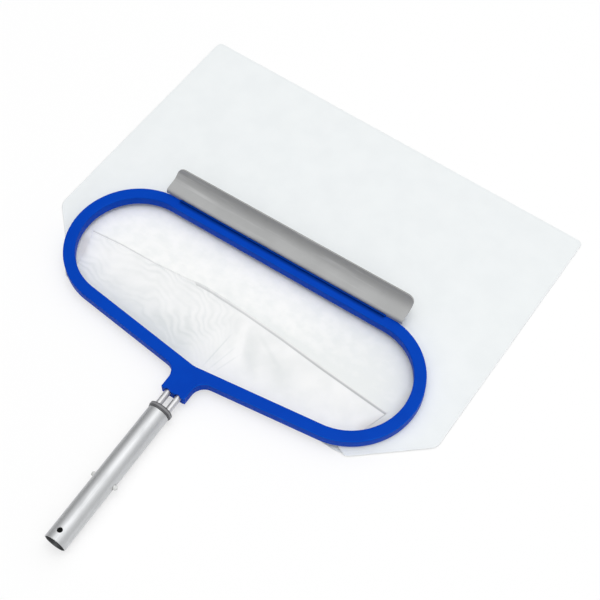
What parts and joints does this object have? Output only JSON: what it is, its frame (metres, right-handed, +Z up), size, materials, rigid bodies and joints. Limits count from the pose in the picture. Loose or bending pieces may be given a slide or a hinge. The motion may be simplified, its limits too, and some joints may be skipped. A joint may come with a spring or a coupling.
{
  "type": "leaf skimmer net",
  "caption": "Pool leaf skimmer: moulded ring frame on a bent rod, curled scoop blade, flat mesh bag and a tubular spigot with a sprung clip for a telescopic pole.",
  "frame": {"origin": "middle of the footprint, on the surface that the net lies on", "axes": "+Y from the pole spigot to the bag's far edge, +Z up out of the ring's mouth, +X across the ring"},
  "size_m": [0.6017, 0.719, 0.046],
  "materials": {
    "frame_plastic": "moulded blue polypropylene, soft gloss",
    "blade_plastic": "moulded grey plastic, satin",
    "collar_plastic": "dark grey moulded plastic",
    "aluminium": "satin anodised tube and rod",
    "screw_steel": "bright stainless",
    "clip_plastic": "milky translucent moulding",
    "mesh_cloth": "fine white knitted mesh",
    "hem_cord": "white twisted cord"
  },
  "bodies": {
    "net": {"frame_shell": "frame_plastic", "bow_rod": "aluminium", "far_retainer": "frame_plastic", "left_end_retainer": "frame_plastic", "right_end_retainer": "frame_plastic", "near_left_retainer": "frame_plastic", "near_right_retainer": "frame_plastic", "hub_cover": "frame_plastic", "hub_screw_1": "screw_steel", "hub_screw_2": "screw_steel", "hub_screw_3": "screw_steel", "hub_screw_4": "screw_steel", "hem_cord": "hem_cord", "bag_floor_sheet": "mesh_cloth", "bag_front_panel": "mesh_cloth", "bag_upper_panel": "mesh_cloth", "scraper_blade": "blade_plastic", "collar_plug": "collar_plastic", "handle_tube": "aluminium", "plug_rivet": "aluminium", "clip_spine": "clip_plastic"},
    "left_clip_arm": {"clip_arm_left": "clip_plastic"},
    "right_clip_arm": {"clip_arm_right": "clip_plastic"}
  },
  "joints": [
    {"name": "left_button_press", "type": "hinge", "parent": "net", "child": "left_clip_arm", "pos_m": [-0.0045, -0.2082, 0.01425], "axis": [0, 0, 1], "range_deg": [0, 4.2], "stiffness_Nm_per_rad": 2, "springref_deg": -8.59},
    {"name": "right_button_press", "type": "hinge", "parent": "net", "child": "right_clip_arm", "pos_m": [0.0045, -0.2082, 0.01425], "axis": [0, 0, -1], "range_deg": [0, 4.2], "stiffness_Nm_per_rad": 2, "springref_deg": -8.59}
  ]
}
